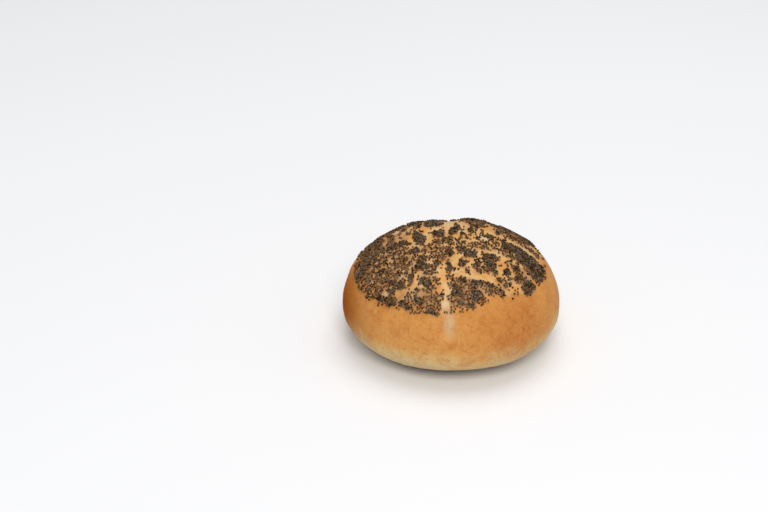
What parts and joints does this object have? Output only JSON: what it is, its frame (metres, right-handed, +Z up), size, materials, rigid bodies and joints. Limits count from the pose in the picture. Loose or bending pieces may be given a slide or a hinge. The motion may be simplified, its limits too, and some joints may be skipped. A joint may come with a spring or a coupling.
{
  "type": "bread roll",
  "caption": "Round bread roll with a domed crown under a torn coat of poppy seeds, a golden crust and a flat spot to rest on.",
  "frame": {"origin": "middle of the flat spot underneath, at the level of the table", "axes": "+Z up through the crown; -Y towards the front, where the seam ends in a pale pinch; +X to the right"},
  "size_m": [0.0999, 0.0981, 0.051],
  "materials": {
    "crust": "baked golden crust, dull satin, with dark seeds fused to the crown"
  },
  "bodies": {
    "root": {"bread_roll": "crust"}
  },
  "joints": []
}
